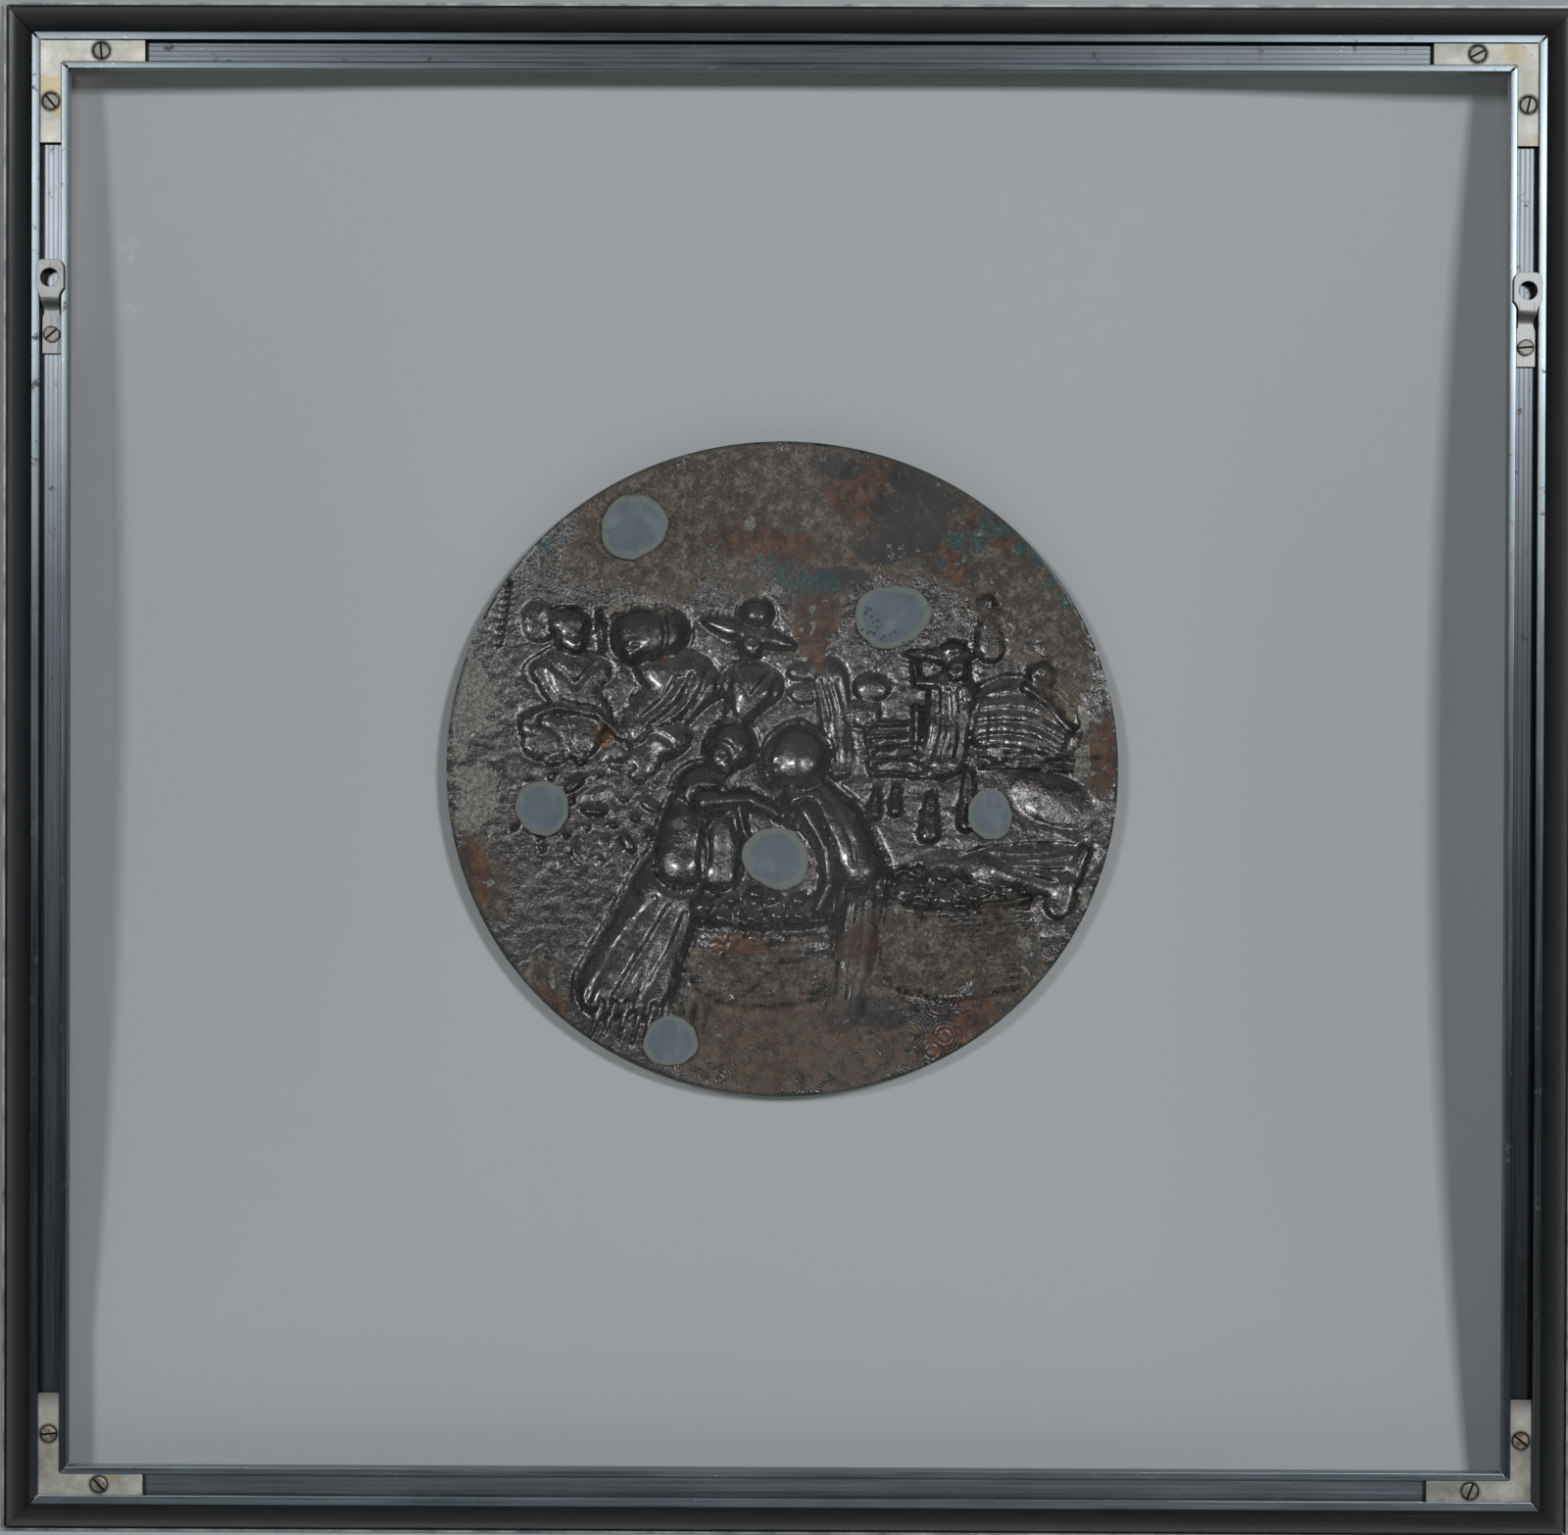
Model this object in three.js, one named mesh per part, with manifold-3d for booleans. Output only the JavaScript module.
// Round metal relief of country people with baskets, stuck with adhesive pads to a clear
// pane in a mitred aluminium wall frame. Millimetres. +X right and +Z up as seen from the
// back, -Y towards the wall. The origin lies midway between the two hanger holes, on the
// plane of the hangers' rear faces.
import * as THREE from "three";
import { mergeVertices } from "three/addons/utils/BufferGeometryUtils.js";
import Module from "manifold-3d";

const wasm = await Module();
wasm.setup();

// ---------------------------------------------------------------- driving dimensions
const FRAME_WIDTH = 600;
const FRAME_HEIGHT = 585;
const GAP = 0.3;                  // clearance between pieces that touch
const ROUND = 20;                 // sides of a drilled hole

// Depths are measured from the flat front face of the frame towards the wall.
const LIP_DEPTH = 24;             // rear face of the rail's lips
const HANGER_DEPTH = 26;          // rear face of the hanger rings
const FLOOR_DEPTH = 18.5;         // floor of the hardware channel
const WEB_DEPTH = 17.2;           // front face of that floor
const PANE_THICKNESS = 3;
const PAD_THICKNESS = 2.2;
const PLAQUE_WALL = 1.6;

// Rail section, measured inwards from the outer edge of the frame.
const RIM_WIDTH = 0.9;
const RIM_DEPTH = 1.5;
const GROOVE = 0.5;
const FACE_WIDTH = 24;
const SKIN = 1.3;
const CHANNEL_START = 15;
const CHANNEL_END = 28.8;
const LIP_WIDTH = 3;
const LIP_THICKNESS = 1.2;
const FLARE_BULGE = 2.2;
const RIB_COUNT = 5;
const RIB_HEIGHT = 0.25;
const PANE_RIB_END = 17;
const PANE_EDGE = 15.2;

// Corner plates and their screws.
const PLATE_WIDTH = 10.8;
const PLATE_THICKNESS = 1.6;
const PLATE_LEG = { x: 41, z: 40 };
const PLATE_SCREW = 24.5;         // from the plate's outer corner along each leg
const SCREW_HEAD = 3.1;           // radius
const SCREW_SHANK = 1.8;
const SCREW_SIDES = 12;

// Hangers: a ring over the lips, a joggled neck and a tab screwed down in the channel.
const HANG_DROP = 109.3;          // from the top of the frame to the origin
const HANG_SKEW = 1.7;            // the left ring sits this much above the origin
const RING_WIDTH = 10.6;
const RING_HOLE = 3.5;
const RING_TOP = 6.8;
const NECK_WIDTH = 7.1;
const TAB_WIDTH = 7.3;
const TAB_END = -28.2;
const TAB_SCREW = -21;
const STRAP = 1.6;

// The relief: mean radius, how far it is oval, and its place from the frame's centre.
const PLAQUE_RADIUS = 126.4;
const PLAQUE_OVAL = 1.6;
const PLAQUE_SQUARE = 0.35;
const PLAQUE_CENTRE = { x: -0.8, z: 0.9 };
const OUTLINE_SHIFT = { x: -0.8, z: -0.2 };
const OUTLINE_STEPS = 96;
const MARGIN = { inset: 5.5, steps: 40 };  // flat mesh points inside the outline
const RING_STEP = 5;              // between mesh points round the foot of a form
const RING_OFFSETS = [0.5, -1.7]; // of those points outside and inside the foot
const POINT_SPACING = 2.5;        // least distance between two mesh points
const COVERED = 0.35;             // how much of a form still shows behind what covers it

// Adhesive pads: place on the relief, radii and how uneven the squeezed outline is.
const PADS = [
  { x: -57.7, z: 91.6, rx: 13.2, rz: 12.6, uneven: 0.05 },
  { x: 40.2, z: 58.5, rx: 14.1, rz: 13.3, uneven: 0.07 },
  { x: -91.6, z: -14.9, rx: 10.1, rz: 11.2, uneven: 0.04 },
  { x: -2.6, z: -33.9, rx: 13.0, rz: 12.2, uneven: 0.05 },
  { x: 78.2, z: -17.1, rx: 8.7, rz: 9.8, uneven: 0.04 },
  { x: -42.8, z: -103.9, rx: 11.1, rz: 9.4, uneven: 0.06 },
];

const CENTRE_Z = HANG_DROP - FRAME_HEIGHT / 2;
const CHANNEL_MIDDLE = (CHANNEL_START + CHANNEL_END) / 2;
const PANE_BACK = WEB_DEPTH - GAP;
const PANE_FRONT = PANE_BACK - PANE_THICKNESS;
const PAD_BACK = PANE_FRONT - GAP;
const PLAQUE_BACK = PAD_BACK - PAD_THICKNESS - GAP;
const PLATE_BACK = LIP_DEPTH - LIP_THICKNESS - GAP;
const rad = THREE.MathUtils.degToRad;

/** Y of a depth measured from the front face of the frame. */
const yAt = (depth) => HANGER_DEPTH - depth;

// ---------------------------------------------------------------- materials
const finish = (color, roughness, metalness) =>
  new THREE.MeshStandardMaterial({ color, roughness, metalness });
const blackAnodised = () => finish(0x1d2024, 0.45, 0.7);
const zincPlate = () => finish(0xa8a294, 0.5, 0.8);
const steel = () => finish(0x8c8a86, 0.4, 0.9);
const clearSheet = () => finish(0xdfe6e4, 0.05, 0);
const adhesive = () => finish(0x7d8b90, 0.7, 0);
const darkCopper = () => finish(0x4a3f38, 0.45, 0.8);

// ---------------------------------------------------------------- solids
/** A closed geometry as a solid for joins and cuts. */
function toSolid(geometry) {
  const bare = geometry.clone();
  bare.deleteAttribute("normal");
  bare.deleteAttribute("uv");
  const merged = mergeVertices(bare, 1e-4);
  return new wasm.Manifold(new wasm.Mesh({
    numProp: 3,
    vertProperties: new Float32Array(merged.attributes.position.array),
    triVerts: new Uint32Array(merged.index.array),
  }));
}

/** A solid back as a geometry. */
function toGeometry(solid) {
  const mesh = solid.getMesh();
  const geometry = new THREE.BufferGeometry();
  geometry.setAttribute("position", new THREE.BufferAttribute(mesh.vertProperties, 3));
  geometry.setIndex(new THREE.BufferAttribute(mesh.triVerts, 1));
  geometry.computeVertexNormals();
  return geometry;
}

/** A shape drawn in X and Z, made solid between two depths. */
function slab(shape, frontDepth, backDepth, curveSegments = 6) {
  const thickness = backDepth - frontDepth;
  const geometry = new THREE.ExtrudeGeometry(shape, {
    depth: thickness, bevelEnabled: false, curveSegments,
  });
  geometry.rotateX(Math.PI / 2);
  geometry.translate(0, yAt(frontDepth), 0);
  return geometry;
}

/** A round hole to be left open in a shape. */
function drilled(x, z, radius) {
  const turn = 2 * Math.PI / ROUND;
  return new THREE.Path(Array.from({ length: ROUND }, (_, i) => new THREE.Vector2(
    x + radius * Math.cos(i * turn), z + radius * Math.sin(i * turn))));
}

/** A named mesh at a place. */
function place(name, geometry, material, x = 0, z = 0) {
  const mesh = new THREE.Mesh(geometry, material);
  mesh.name = name;
  mesh.position.set(x, 0, z);
  return mesh;
}

// ---------------------------------------------------------------- frame rails
/** The extruded section: x inwards from the outer edge, y from the front face to the wall. */
function railSection() {
  const lipFront = LIP_DEPTH - LIP_THICKNESS;
  const wallIn = CHANNEL_START + SKIN;
  const wallOut = CHANNEL_END - SKIN;
  const section = new THREE.Shape();
  section.moveTo(0, 0);
  section.lineTo(0, RIM_DEPTH);
  section.lineTo(RIM_WIDTH, RIM_DEPTH);
  section.lineTo(RIM_WIDTH, RIM_DEPTH - GROOVE);
  section.lineTo(RIM_WIDTH + GROOVE, RIM_DEPTH - GROOVE);
  section.quadraticCurveTo(
    CHANNEL_START / 2 - FLARE_BULGE, LIP_DEPTH / 2 + 2 * FLARE_BULGE, CHANNEL_START, LIP_DEPTH);
  section.lineTo(CHANNEL_START + LIP_WIDTH, LIP_DEPTH);
  section.lineTo(CHANNEL_START + LIP_WIDTH, lipFront);
  section.lineTo(wallIn, lipFront);
  section.lineTo(wallIn, FLOOR_DEPTH);
  const pitch = (wallOut - wallIn) / (RIB_COUNT + 1);
  for (let i = 1; i <= RIB_COUNT; i += 1) {
    const middle = wallIn + pitch * i;
    section.lineTo(middle - pitch / 5, FLOOR_DEPTH);
    section.lineTo(middle, FLOOR_DEPTH + RIB_HEIGHT);
    section.lineTo(middle + pitch / 5, FLOOR_DEPTH);
  }
  section.lineTo(wallOut, FLOOR_DEPTH);
  section.lineTo(wallOut, lipFront);
  section.lineTo(CHANNEL_END - LIP_WIDTH + GAP, lipFront);
  section.lineTo(CHANNEL_END - LIP_WIDTH + GAP, LIP_DEPTH);
  section.lineTo(CHANNEL_END, LIP_DEPTH);
  section.lineTo(CHANNEL_END, WEB_DEPTH);
  section.lineTo(CHANNEL_START - 2 * SKIN, WEB_DEPTH);
  const ribBack = PANE_FRONT - GAP;
  section.lineTo(CHANNEL_START - 3.4 * SKIN, ribBack);
  section.lineTo(PANE_RIB_END, ribBack);
  section.lineTo(PANE_RIB_END, ribBack - SKIN);
  section.lineTo(CHANNEL_START - 4.2 * SKIN, ribBack - SKIN);
  section.lineTo(RIM_WIDTH + GROOVE + 1.7 * SKIN, SKIN);
  section.lineTo(FACE_WIDTH, SKIN);
  section.lineTo(FACE_WIDTH, 0);
  section.closePath();
  return section;
}

/** One rail of the given outer length, mitred at both ends, turned to its side of the frame. */
function rail(name, length, reach, turn) {
  const geometry = new THREE.ExtrudeGeometry(railSection(), {
    depth: 1, bevelEnabled: false, curveSegments: 10,
  });
  const corners = geometry.attributes.position;
  for (let i = 0; i < corners.count; i += 1) {
    const inwards = corners.getX(i);
    const depth = corners.getY(i);
    const end = corners.getZ(i) < 0.5 ? -1 : 1;
    corners.setXYZ(i, end * (length / 2 - inwards - GAP), yAt(depth), inwards - reach);
  }
  geometry.rotateY(turn);
  geometry.computeVertexNormals();
  return place(name, geometry, blackAnodised(), 0, CENTRE_Z);
}

function frameRails() {
  const rails = new THREE.Group();
  rails.add(
    rail("rail_bottom", FRAME_WIDTH, FRAME_HEIGHT / 2, 0),
    rail("rail_left", FRAME_HEIGHT, FRAME_WIDTH / 2, Math.PI / 2),
    rail("rail_top", FRAME_WIDTH, FRAME_HEIGHT / 2, Math.PI),
    rail("rail_right", FRAME_HEIGHT, FRAME_WIDTH / 2, -Math.PI / 2),
  );
  return rails;
}

// ---------------------------------------------------------------- screws
/** A domed slotted screw along Y: its head stands from headFront to headBack. */
function slottedScrew(headFront, headBack, tipDepth, slotAngle) {
  const dome = 0.55;
  const profile = [
    [0, tipDepth], [SCREW_SHANK, tipDepth], [SCREW_SHANK, headFront], [SCREW_HEAD, headFront],
    [SCREW_HEAD, headBack - dome], [SCREW_HEAD * 0.7, headBack], [0, headBack],
  ].map(([radius, depth]) => new THREE.Vector2(radius, depth));
  const body = new THREE.LatheGeometry(profile, SCREW_SIDES);
  const slot = new THREE.BoxGeometry(3 * SCREW_HEAD, 1.6, 0.9);
  slot.rotateY(-slotAngle);
  slot.translate(0, headBack, 0);
  const cut = toGeometry(toSolid(body).subtract(toSolid(slot)));
  cut.rotateX(Math.PI);
  cut.translate(0, HANGER_DEPTH, 0);
  return cut;
}

// ---------------------------------------------------------------- corner plates
/** L-shaped plate whose outer corner is at the origin, legs towards +X and +Z. */
function cornerPlate() {
  const shape = new THREE.Shape();
  shape.moveTo(0, 0);
  shape.lineTo(PLATE_LEG.x, 0);
  shape.lineTo(PLATE_LEG.x, PLATE_WIDTH);
  shape.lineTo(PLATE_WIDTH, PLATE_WIDTH);
  shape.lineTo(PLATE_WIDTH, PLATE_LEG.z);
  shape.lineTo(0, PLATE_LEG.z);
  shape.closePath();
  const middle = PLATE_WIDTH / 2;
  for (const [x, z] of [[PLATE_SCREW, middle], [middle, PLATE_SCREW]]) {
    shape.holes.push(drilled(x, z, SCREW_HEAD + GAP));
  }
  return shape;
}

/** The plate's outline mirrored into the corner whose inward directions are sx and sz. */
function mirrored(shape, sx, sz) {
  const { shape: outline, holes } = shape.extractPoints(ROUND / 4);
  const flip = (points) => {
    const flipped = points.map((p) => new THREE.Vector2(p.x * sx, p.y * sz));
    return sx * sz < 0 ? flipped.reverse() : flipped;
  };
  const turned = new THREE.Shape(flip(outline));
  turned.holes = holes.map((hole) => new THREE.Path(flip(hole)));
  return turned;
}

function cornerHardware() {
  const hardware = new THREE.Group();
  const inset = CHANNEL_MIDDLE - PLATE_WIDTH / 2;
  const middle = PLATE_WIDTH / 2;
  const corners = [
    { name: "top_left", sx: 1, sz: -1, slots: [95, -50] },
    { name: "top_right", sx: -1, sz: -1, slots: [28, 78] },
    { name: "bottom_left", sx: 1, sz: 1, slots: [-48, 5] },
    { name: "bottom_right", sx: -1, sz: 1, slots: [68, -38] },
  ];
  for (const { name, sx, sz, slots } of corners) {
    const x = -sx * (FRAME_WIDTH / 2 - inset);
    const z = CENTRE_Z - sz * (FRAME_HEIGHT / 2 - inset);
    const outline = mirrored(cornerPlate(), sx, sz);
    const plate = slab(outline, PLATE_BACK - PLATE_THICKNESS, PLATE_BACK);
    hardware.add(place(`plate_${name}`, plate, zincPlate(), x, z));
    const screws = [
      { side: "a", dx: PLATE_SCREW, dz: middle, angle: slots[0] },
      { side: "b", dx: middle, dz: PLATE_SCREW, angle: slots[1] },
    ];
    for (const { side, dx, dz, angle } of screws) {
      const screw = slottedScrew(
        PLATE_BACK - 1.2, PLATE_BACK + 0.5, FLOOR_DEPTH + RIB_HEIGHT + GAP, rad(angle));
      hardware.add(
        place(`screw_${name}_${side}`, screw, steel(), x + sx * dx, z + sz * dz));
    }
  }
  return hardware;
}

// ---------------------------------------------------------------- hangers
/** Outline of the strap as seen from the back, the ring's hole at the origin. */
function hangerOutline() {
  const half = RING_WIDTH / 2;
  const neck = NECK_WIDTH / 2;
  const tab = TAB_WIDTH / 2;
  const shape = new THREE.Shape();
  shape.moveTo(-half + 2.4, RING_TOP);
  shape.lineTo(half - 2.4, RING_TOP);
  shape.quadraticCurveTo(half - 0.5, RING_TOP - 0.4, half, RING_TOP - 3);
  shape.lineTo(half, -4);
  shape.quadraticCurveTo(neck, -5.8, neck, -8);
  shape.lineTo(tab - 0.7, -12.4);
  shape.lineTo(tab - 0.7, -13);
  shape.lineTo(tab, -14.6);
  shape.lineTo(tab, TAB_END);
  shape.lineTo(-tab, TAB_END);
  shape.lineTo(-tab, -14.6);
  shape.lineTo(-tab + 0.7, -13);
  shape.lineTo(-tab + 0.7, -12.4);
  shape.lineTo(-neck, -8);
  shape.quadraticCurveTo(-neck, -5.8, -half, -4);
  shape.lineTo(-half, RING_TOP - 3);
  shape.quadraticCurveTo(-half + 0.5, RING_TOP - 0.4, -half + 2.4, RING_TOP);
  shape.holes.push(drilled(0, 0, RING_HOLE), drilled(0, TAB_SCREW, SCREW_SHANK + GAP));
  return shape;
}

/** Side view of the joggled strap: x along the strap, y the depth. */
function hangerSide() {
  const tabBack = FLOOR_DEPTH + RIB_HEIGHT + GAP + STRAP;
  const bend = { start: -7.2, end: -12.2 };
  const middle = (bend.start + bend.end) / 2;
  const side = new THREE.Shape();
  side.moveTo(RING_TOP + 1, HANGER_DEPTH);
  side.lineTo(bend.start, HANGER_DEPTH);
  side.bezierCurveTo(middle, HANGER_DEPTH, middle, tabBack, bend.end, tabBack);
  side.lineTo(TAB_END - 1, tabBack);
  side.lineTo(TAB_END - 1, tabBack - STRAP);
  side.lineTo(bend.end + 1, tabBack - STRAP);
  side.bezierCurveTo(
    middle + 1.4, tabBack - STRAP, middle + 1.4, HANGER_DEPTH - STRAP,
    bend.start + 1, HANGER_DEPTH - STRAP);
  side.lineTo(RING_TOP + 1, HANGER_DEPTH - STRAP);
  side.closePath();
  return side;
}

function hangerGeometry() {
  const side = new THREE.ExtrudeGeometry(hangerSide(), {
    depth: 2 * RING_WIDTH, bevelEnabled: false, curveSegments: 7,
  });
  // The side view's own axes are the strap's length and the depth.
  side.applyMatrix4(new THREE.Matrix4().set(
    0, 0, 1, -RING_WIDTH,
    0, -1, 0, HANGER_DEPTH,
    1, 0, 0, 0,
    0, 0, 0, 1));
  const plan = slab(hangerOutline(), WEB_DEPTH, HANGER_DEPTH + 2, ROUND / 4);
  return toGeometry(toSolid(plan).intersect(toSolid(side)));
}

function hangers() {
  const pair = new THREE.Group();
  const reach = FRAME_WIDTH / 2 - CHANNEL_MIDDLE - GAP;
  const tabBack = FLOOR_DEPTH + RIB_HEIGHT + GAP + STRAP;
  const sides = [
    { name: "left", x: -reach, z: HANG_SKEW, slot: 42 },
    { name: "right", x: reach, z: -HANG_SKEW, slot: 4 },
  ];
  for (const { name, x, z, slot } of sides) {
    pair.add(place(`hanger_${name}`, hangerGeometry(), steel(), x, z));
    const screw = slottedScrew(
      tabBack + GAP, tabBack + 2, FLOOR_DEPTH + RIB_HEIGHT + GAP, rad(slot));
    pair.add(place(`screw_hanger_${name}`, screw, steel(), x, z + TAB_SCREW));
  }
  return pair;
}

// ---------------------------------------------------------------- pane and pads
function pane() {
  const width = FRAME_WIDTH - 2 * PANE_EDGE;
  const height = FRAME_HEIGHT - 2 * PANE_EDGE;
  const sheet = new THREE.BoxGeometry(width, PANE_THICKNESS, height);
  sheet.translate(0, yAt((PANE_FRONT + PANE_BACK) / 2), 0);
  return place("pane", sheet, clearSheet(), 0, CENTRE_Z);
}

/** A squeezed pad: a rounded uneven disc that bulges at half its thickness. */
function padGeometry({ rx, rz, uneven }, seed) {
  const sides = 18;
  const bulge = 0.5;
  const profile = [[0, 0], [-bulge, 0], [0, 0.5], [-bulge, 1], [0, 1]];
  const points = profile.map(([inset, height], ring) => {
    const radius = ring === 0 || ring === profile.length - 1 ? 0 : 1 + inset / rx;
    return new THREE.Vector2(radius, height * PAD_THICKNESS);
  });
  const geometry = new THREE.LatheGeometry(points, sides);
  const spots = geometry.attributes.position;
  for (let i = 0; i < spots.count; i += 1) {
    const angle = Math.atan2(spots.getZ(i), spots.getX(i));
    const swell = 1 + uneven * (Math.sin(2 * angle + seed) + 0.6 * Math.cos(3 * angle - seed));
    spots.setX(i, spots.getX(i) * rx * swell);
    spots.setZ(i, spots.getZ(i) * rz * swell);
  }
  geometry.translate(0, yAt(PAD_BACK), 0);
  return geometry;
}

function adhesivePads() {
  const pads = new THREE.Group();
  PADS.forEach((pad, index) => {
    const x = PLAQUE_CENTRE.x + pad.x;
    const z = CENTRE_Z + PLAQUE_CENTRE.z + pad.z;
    pads.add(place(`adhesive_pad_${index + 1}`, padGeometry(pad, index), adhesive(), x, z));
  });
  return pads;
}

// ---------------------------------------------------------------- relief forms
// A form answers how far a point lies inside its foot (1 on its crest, 0 on its edge) and how
// high it is there, and gives the points that a mesh needs round its foot and on its crest.

/** A pillow with an oval foot, turned by the given degrees. */
function mound(x, z, rx, rz, height, turn = 0) {
  const cos = Math.cos(rad(turn));
  const sin = Math.sin(rad(turn));
  return {
    at(px, pz) {
      const u = ((px - x) * cos + (pz - z) * sin) / rx;
      const v = ((pz - z) * cos - (px - x) * sin) / rz;
      return { inside: 1 - u * u - v * v, height };
    },
    ring(offset) {
      const a = rx + offset;
      const b = rz + offset;
      if (Math.min(a, b) <= 0) return [];
      const count = Math.max(6, Math.round(Math.PI * (a + b) / RING_STEP));
      return Array.from({ length: count }, (_, i) => {
        const angle = 2 * Math.PI * i / count;
        const u = a * Math.cos(angle);
        const v = b * Math.sin(angle);
        return [x + u * cos - v * sin, z + u * sin + v * cos];
      });
    },
    crest: [[x, z]],
  };
}

/** A rounded bar from a to b, each end given as [x, z, radius, height]. */
function limb(a, b) {
  const [ax, az, ar, ah] = a;
  const [bx, bz, br, bh] = b;
  const length = Math.hypot(bx - ax, bz - az);
  const heading = Math.atan2(bz - az, bx - ax);
  const along = (t) => [ax + t * (bx - ax), az + t * (bz - az)];
  return {
    at(px, pz) {
      const t = THREE.MathUtils.clamp(
        ((px - ax) * (bx - ax) + (pz - az) * (bz - az)) / length ** 2, 0, 1);
      const [cx, cz] = along(t);
      const radius = ar + t * (br - ar);
      return {
        inside: 1 - ((px - cx) ** 2 + (pz - cz) ** 2) / radius ** 2,
        height: ah + t * (bh - ah),
      };
    },
    ring(offset) {
      const points = [];
      const spot = (t, angle) => {
        const radius = ar + t * (br - ar) + offset;
        const [cx, cz] = along(t);
        if (radius > 0) {
          points.push([
            cx + radius * Math.cos(heading + angle), cz + radius * Math.sin(heading + angle)]);
        }
      };
      const steps = Math.max(1, Math.round(length / RING_STEP));
      for (let i = 0; i <= steps; i += 1) {
        spot(i / steps, Math.PI / 2);
        spot(i / steps, -Math.PI / 2);
      }
      for (const turn of [-1, 0, 1]) {
        spot(0, Math.PI + turn * Math.PI / 4);
        spot(1, turn * Math.PI / 4);
      }
      return points;
    },
    crest: [along(0), along(0.5), along(1)],
  };
}

/** A chain of bars through several ends. */
const chain = (...ends) => ends.slice(1).map((end, i) => limb(ends[i], end));

/** Plain rounded head: skull and the jaw on the side that it turns to. */
function head(x, z, size, height, turn) {
  return [
    mound(x, z, size * 0.82, size, height),
    mound(x + turn * size * 0.25, z - size * 0.45, size * 0.55, size * 0.55, height * 1.05),
  ];
}

/** Upright ridges between two lines, as the folds of a skirt. */
function folds(count, top, foot, radius, height) {
  return Array.from({ length: count }, (_, i) => {
    const t = count > 1 ? i / (count - 1) : 0;
    const mix = (line, k) => line[0][k] + t * (line[1][k] - line[0][k]);
    return limb(
      [mix(top, 0), mix(top, 1), radius, height],
      [mix(foot, 0), mix(foot, 1), radius * 1.3, height * 0.75]);
  });
}

/** Fruit heaped over an oval, set out on a sunflower spiral. */
function heap(x, z, rx, rz, count, size, height) {
  const golden = Math.PI * (3 - Math.sqrt(5));
  return Array.from({ length: count }, (_, i) => {
    const out = Math.sqrt((i + 0.5) / count);
    return [mound(
      x + rx * out * Math.cos(i * golden), z + rz * out * Math.sin(i * golden),
      size, size * 0.85, height)];
  });
}

/** A round woven basket: bellied side with bands of weave, a rope rim and heaped fruit. */
function basket({ x, z, width, depth, height, bands, fruit, fruitSize }) {
  const belly = [mound(x, z - depth * 0.4, width, depth * 0.78, height * 0.8)];
  for (let i = 1; i <= bands; i += 1) {
    const drop = depth * i / bands;
    const half = width * (1 - 0.2 * (drop / depth) ** 2);
    belly.push(...chain(
      [x - half, z - drop, 1.8, height * 0.7], [x, z - drop - 2.6, 1.8, height * 1.1],
      [x + half, z - drop, 1.8, height * 0.7]));
  }
  const rim = chain(
    [x - width, z, 2.4, height * 1.1], [x - width / 2, z - 2.2, 2.4, height * 1.2],
    [x + width / 2, z - 2.2, 2.4, height * 1.2], [x + width, z, 2.4, height * 1.1]);
  return [
    belly, rim,
    ...heap(x, z + width * 0.17, width * 0.8, width * 0.18, fruit, fruitSize, height),
  ];
}

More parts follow.
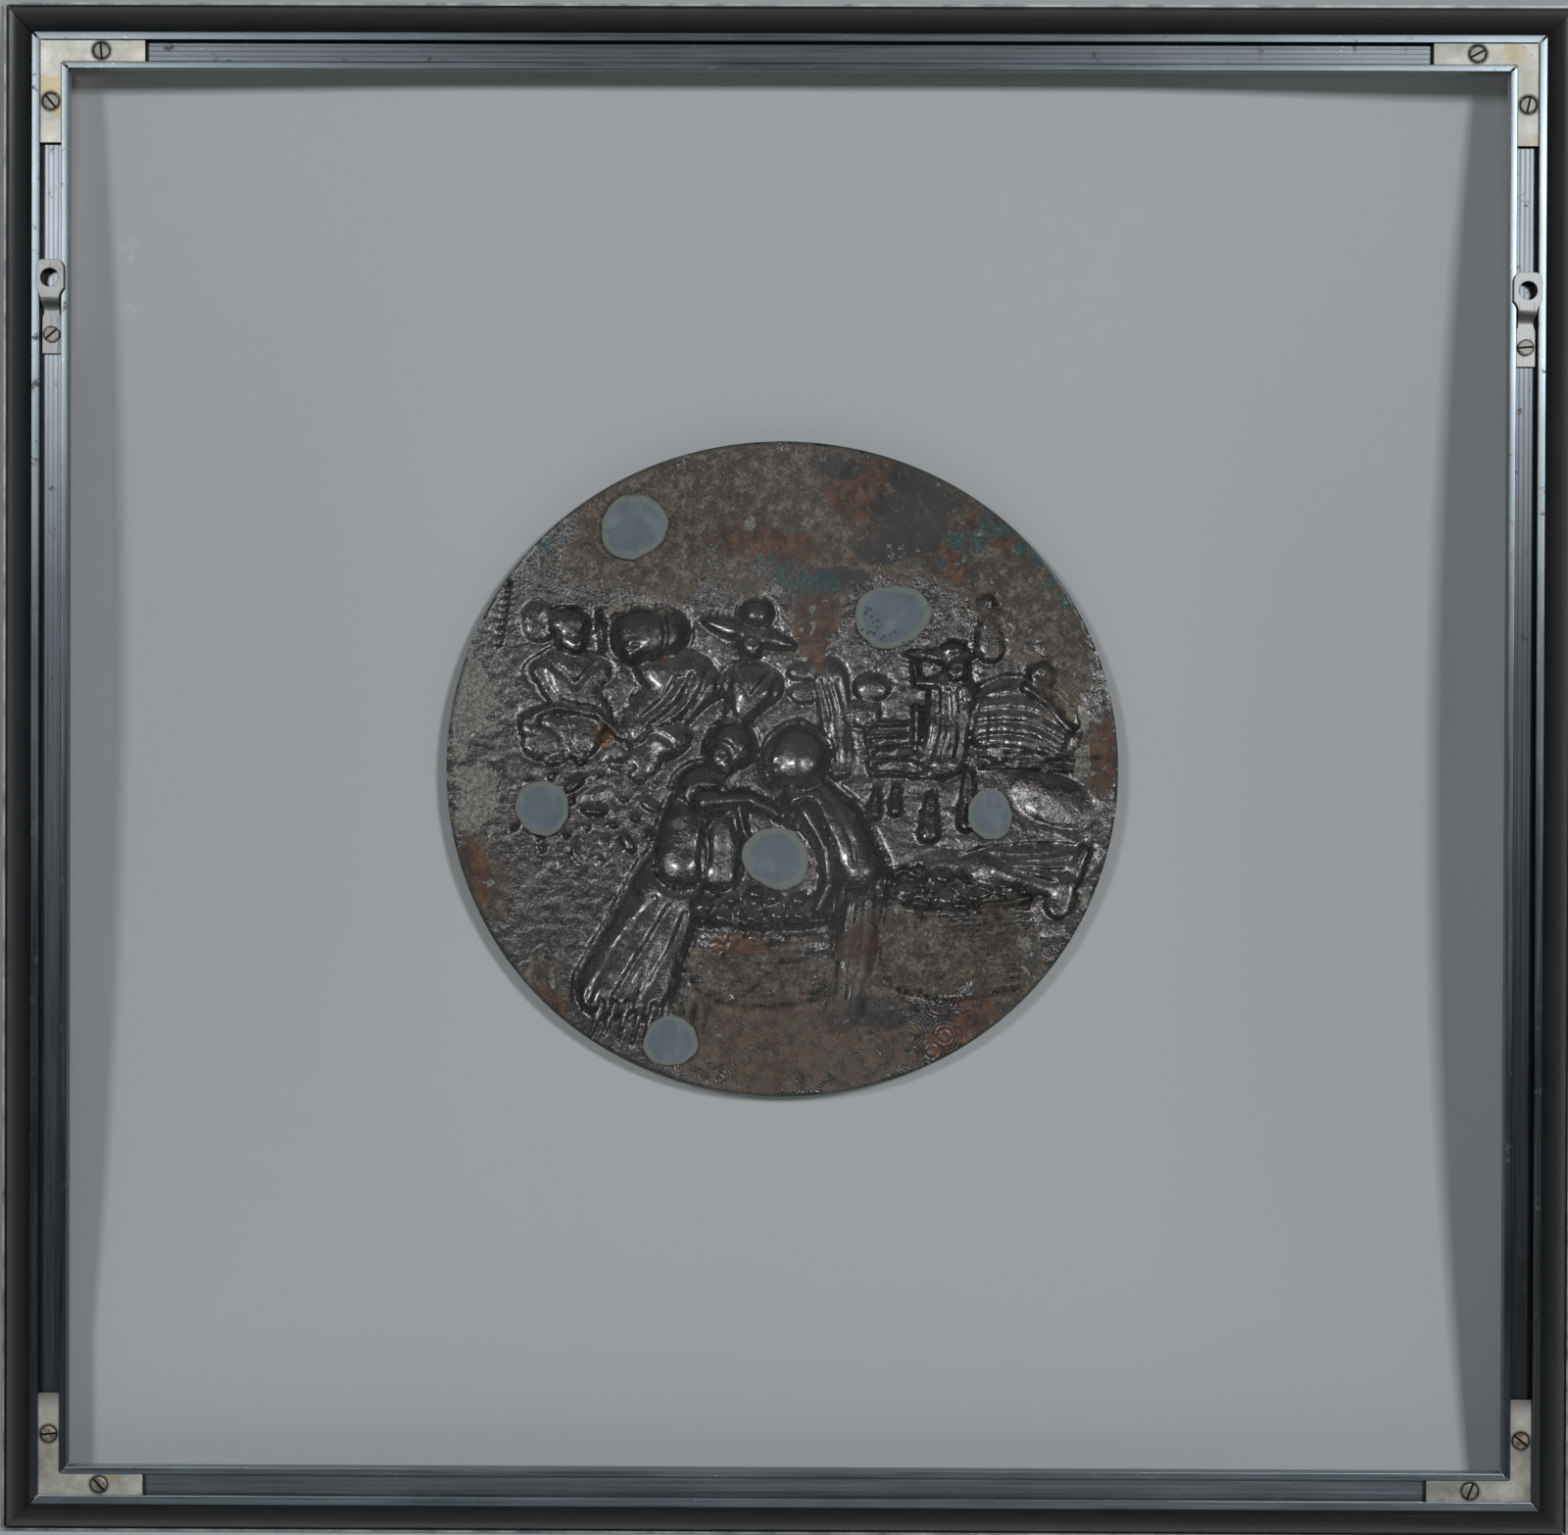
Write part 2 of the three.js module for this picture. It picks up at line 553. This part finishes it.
// Each group is one thing in the picture; later groups lie in front of earlier ones.
function backRow() {
  return [
    [mound(-93, 55, 7, 7.5, 1.8), limb([-105, 71, 1.2, 1.6], [-108.5, 46, 1.2, 1.6])],
    [
      mound(-81.5, 36, 15, 7.5, 3), limb([-83, 34, 11, 3], [-74, 20, 8, 2.4]),
      mound(-82, 55, 8.2, 5.5, 3.8), ...head(-80.8, 49.5, 7.4, 4, 1),
    ],
    [
      mound(-40, 34, 17, 9, 4.2, -16), limb([-38, 32, 12, 4.4], [-53, 15, 9, 3.2]),
      mound(-46, 51, 9.5, 9, 5.2, 20), mound(-55.5, 50, 10.5, 10.2, 5.8),
      ...head(-57.5, 46, 6.8, 6, -1),
      ...folds(3, [[-44, 36], [-30, 35]], [[-56, 20], [-44, 13]], 1.9, 5.6),
    ],
    [
      mound(-12.5, 31, 11.5, 9, 4.2), limb([-12, 30, 9.5, 4.4], [-20.5, 16, 4.2, 3.2]),
      ...head(-13, 47.5, 6.4, 4.6, 1), mound(-13.6, 51.3, 18.6, 4, 4, -15),
      mound(-10.6, 58.5, 6.8, 6.2, 4.8, -12),
    ],
    [mound(7.5, 37, 6.5, 3.6, 2), mound(7.5, 28.5, 5.5, 4.2, 1.8)],
    [
      mound(17.5, 33.5, 6.5, 8, 3), limb([18, 30, 6, 3], [21, 1, 5.5, 2.6]),
      mound(33, 31, 7, 5.5, 2.4), mound(31, 21, 6, 6, 2),
    ],
    [
      ...[0, 1, 2, 3].map((i) => limb(
        [32, 16.5 - 4.6 * i, 1.2, 2.2], [48.5, 18 - 4.4 * i, 1.2, 2.2])),
      limb([31.5, 20, 1.5, 2.3], [33, -2, 1.5, 2.3]), limb([50, 24, 2.2, 2.9], [50.5, 4, 1.8, 2.7]),
      limb([33, -1.5, 1.4, 2.3], [56, -2.5, 1.4, 2.3]),
    ],
    [
      limb([77.5, 52, 5, 2.4], [78, 46, 6, 2.2]), mound(77.5, 57, 4.2, 4.6, 2.8),
      mound(77.5, 60.5, 8.5, 1.9, 2.7, -12), mound(76.5, 63, 4, 3.8, 2.9),
    ],
    [mound(89, 17, 19.5, 15.5, 4.2, -14)],
    [
      mound(97.5, 35.8, 5.6, 5.6, 3.6),
      ...chain([92, 31, 2.6, 3.2], [100, 26, 2.4, 3.2], [109, 15, 1.8, 2.6]),
    ],
    [
      limb([63, 29, 9, 3.8], [60, 4, 8, 3]), mound(65, 28, 8.5, 7, 3.8),
      ...chain([58, 33, 2.6, 3.6], [50.5, 33, 2.2, 3.2], [49.5, 40, 1.8, 2.8]),
      ...head(65.5, 38, 6.2, 4.6, -1), mound(58.5, 43.2, 13.6, 2.8, 3.8, -2),
      mound(63.5, 45.5, 6, 3.6, 4),
      ...folds(2, [[59, 26], [66, 26]], [[56, 5], [64, 5]], 1.8, 4.4),
    ],
    [6, 1.5].map((z) => limb([74, z, 1.2, 1.5], [119, z - 1.5, 1.2, 1.5])),
  ];
}

function middleGround() {
  return [
    [
      mound(-90, 11, 10, 8, 2.6, 20), mound(-78, 12, 8.2, 9, 3), ...head(-97, 16, 5.2, 2.6, 1),
      ...chain(
        [-96, 20, 2.2, 2.2], [-86, 23, 2.2, 2.4], [-72, 21, 2.2, 2.6], [-62, 12, 2, 2.2]),
    ],
    [mound(-45, 10, 10, 6.5, 3, 25), mound(-54, 2, 7, 8, 2.6, -30)],
    ...heap(-76, -16, 28, 21, 16, 4.6, 2.2),
    ...[
      { x: 35, z: -12, width: 3, half: 7.5 }, { x: 43, z: -11, width: 2.8, half: 7 },
      { x: 55.5, z: -17, width: 4.2, half: 10.5 }, { x: 70, z: -10, width: 4.4, half: 14 },
    ].map(({ x, z, width, half }) => [
      limb([x, z + half * 0.6, width * 0.6, 2], [x - 0.6, z - half * 0.7, width, 2.6])]),
    [mound(101, -11, 16, 9, 2.6, -24)],
  ];
}

function foreground() {
  return [
    ...basket({
      x: 64, z: -49, width: 29, depth: 35, height: 3.6, bands: 4, fruit: 12, fruitSize: 4.8,
    }),
    ...basket({
      x: -9.5, z: -57, width: 28.5, depth: 31, height: 3.8, bands: 4, fruit: 14, fruitSize: 4.8,
    }),
    chain(
      [38, -47, 1.7, 4.2], [40.5, -41, 1.7, 4.8], [45.5, -38.5, 1.7, 5], [50.5, -41, 1.7, 4.8],
      [53, -47, 1.7, 4.2]),
    [
      mound(92, -37, 24, 8, 3.4, 3), limb([90, -38, 7, 3.2], [106, -44, 6, 2.6]),
      limb([114, -31, 3, 2.4], [104, -52, 5, 2.2]),
    ],
    [
      limb([-42, -42, 12.5, 5.6], [-66, -84, 12, 4.8]), limb([-40, -48, 9, 5.2], [-50, -90, 7, 3.8]),
      ...folds(4, [[-49, -46], [-35, -48]], [[-72, -84], [-49, -88]], 2.2, 7),
    ],
    [
      limb([-31, -9, 10.5, 6.2], [-38, -34, 12, 6]), limb([-24, -22, 9, 5.2], [-24, -38, 9, 4.8]),
      ...folds(2, [[-36, -20], [-24, -22]], [[-38, -36], [-22, -38]], 2.2, 7),
    ],
    [
      ...chain(
        [-30, -13, 5.2, 6.8], [-13, -11.5, 3.8, 6.6], [-2, -17, 3, 5.6], [5, -20.5, 2.6, 4.8]),
      ...chain([-18, -12, 2.8, 6.4], [-12, -32, 2.4, 4.6]),
    ],
    [...head(-23.5, 4.8, 8.2, 6.4, 1), mound(-19.5, 8.5, 9, 9.2, 6.8)],
    [
      ...chain([30, -40, 9, 6.4], [27, -71, 7.5, 4.6], [22, -94, 6.5, 3]),
      ...folds(2, [[27, -48], [33, -48]], [[22, -90], [28, -86]], 1.9, 7),
    ],
    chain([9, -12, 10, 7.2], [20, -22, 10.5, 7.4], [29, -38, 9.5, 6.8]),
    chain([8, -16, 4.4, 8], [15.5, -30, 3.8, 7.6], [17.5, -44, 3.2, 6.4], [13, -54, 2.6, 5.2]),
    [...head(-2.5, 1.5, 8.5, 6.6, -1), mound(5.2, 4.2, 11.8, 11.4, 8)],
  ];
}

/** How deep inside a group a point lies, and the group's height there. */
function groupAt(group, x, z) {
  const answers = group.map((form) => form.at(x, z));
  return {
    inside: Math.max(...answers.map(({ inside }) => inside)),
    height: Math.max(...answers.map(({ inside, height }) => height * Math.sqrt(Math.max(0, inside)))),
  };
}

/** Height of the relief at a point: what lies in front hides most of what is behind it. */
function reliefHeight(groups, x, z) {
  return groups.reduce((below, group) => {
    const { inside, height } = groupAt(group, x, z);
    return inside > 0 ? Math.max(height, below * COVERED) : below;
  }, 0);
}

// ---------------------------------------------------------------- relief plate
/** The slightly oval, slightly square outline of the relief, or a line inside it. */
function plaqueOutline(steps, inset = 0) {
  return Array.from({ length: steps }, (_, i) => {
    const angle = 2 * Math.PI * i / steps;
    const radius = PLAQUE_RADIUS - inset
      + PLAQUE_OVAL * Math.cos(2 * angle) - PLAQUE_SQUARE * Math.cos(4 * angle);
    return [
      OUTLINE_SHIFT.x + radius * Math.cos(angle), OUTLINE_SHIFT.z + radius * Math.sin(angle)];
  });
}

/** Mesh points: outline, feet and crests of the forms from front to back, flat margin. */
function reliefPoints(groups) {
  const kept = plaqueOutline(OUTLINE_STEPS);
  const keep = ([x, z]) => {
    const within = Math.hypot(x - OUTLINE_SHIFT.x, z - OUTLINE_SHIFT.z) < PLAQUE_RADIUS - 4;
    if (within && kept.every(([kx, kz]) => Math.hypot(x - kx, z - kz) > POINT_SPACING)) {
      kept.push([x, z]);
    }
  };
  groups.forEach((_, index) => {
    const order = groups.length - 1 - index;
    const inFront = groups.slice(order + 1);
    const shows = ([x, z]) => inFront.every((group) => groupAt(group, x, z).inside < 0);
    for (const offset of RING_OFFSETS) {
      for (const form of groups[order]) {
        const inGroup = ([x, z]) => groupAt(groups[order], x, z).inside > 0;
        form.ring(offset)
          .filter((point) => shows(point) && inGroup(point) === offset < 0)
          .forEach(keep);
      }
    }
    groups[order].flatMap((form) => form.crest).filter(shows).forEach(keep);
  });
  plaqueOutline(MARGIN.steps, MARGIN.inset)
    .filter(([x, z]) => reliefHeight(groups, x, z) === 0)
    .forEach(keep);
  return kept;
}

/** A triangle of point numbers with the circle through its corners. */
function circled(points, a, b, c) {
  const [ax, az] = points[a];
  const [bx, bz] = [points[b][0] - ax, points[b][1] - az];
  const [cx, cz] = [points[c][0] - ax, points[c][1] - az];
  const cross = 2 * (bx * cz - bz * cx);
  const x = (cz * (bx * bx + bz * bz) - bz * (cx * cx + cz * cz)) / cross;
  const z = (bx * (cx * cx + cz * cz) - cx * (bx * bx + bz * bz)) / cross;
  return { corners: [a, b, c], x: ax + x, z: az + z, reach: x * x + z * z };
}

/** Delaunay triangles of the points, corners turning left in X and Z. */
function delaunay(points) {
  const far = 1e5;
  const all = [...points, [-far, -far], [far, -far], [0, far]];
  const count = points.length;
  let triangles = [circled(all, count, count + 1, count + 2)];
  points.forEach(([x, z], index) => {
    const rim = new Map();
    triangles = triangles.filter((triangle) => {
      if ((x - triangle.x) ** 2 + (z - triangle.z) ** 2 >= triangle.reach) return true;
      const [a, b, c] = triangle.corners;
      for (const [from, to] of [[a, b], [b, c], [c, a]]) {
        if (!rim.delete(`${to},${from}`)) rim.set(`${from},${to}`, [from, to]);
      }
      return false;
    });
    for (const [from, to] of rim.values()) triangles.push(circled(all, from, to, index));
  });
  return triangles.map(({ corners }) => corners).filter((c) => c.every((i) => i < count));
}

/** The relief as one sheet of even thickness, hollow behind and raised in front. */
function plaque() {
  const groups = [...backRow(), ...middleGround(), ...foreground()];
  const points = reliefPoints(groups);
  const count = points.length;
  const layer = (offset) => points.flatMap(([x, z]) => [
    x, yAt(PLAQUE_BACK) + reliefHeight(groups, x, z) + offset, z]);
  const faces = delaunay(points).flatMap(([a, b, c]) => [
    a, b, c, count + c, count + b, count + a]);
  for (let i = 0; i < OUTLINE_STEPS; i += 1) {
    const next = (i + 1) % OUTLINE_STEPS;
    faces.push(next, i, count + i, next, count + i, count + next);
  }
  const geometry = new THREE.BufferGeometry();
  geometry.setAttribute("position", new THREE.Float32BufferAttribute(
    [...layer(0), ...layer(PLAQUE_WALL)], 3));
  geometry.setIndex(faces);
  geometry.computeVertexNormals();
  return place(
    "plaque", geometry, darkCopper(), PLAQUE_CENTRE.x, CENTRE_Z + PLAQUE_CENTRE.z);
}

// ---------------------------------------------------------------- assembly
const group = new THREE.Group();
group.add(frameRails(), cornerHardware(), hangers(), pane(), adhesivePads(), plaque());

export default group;
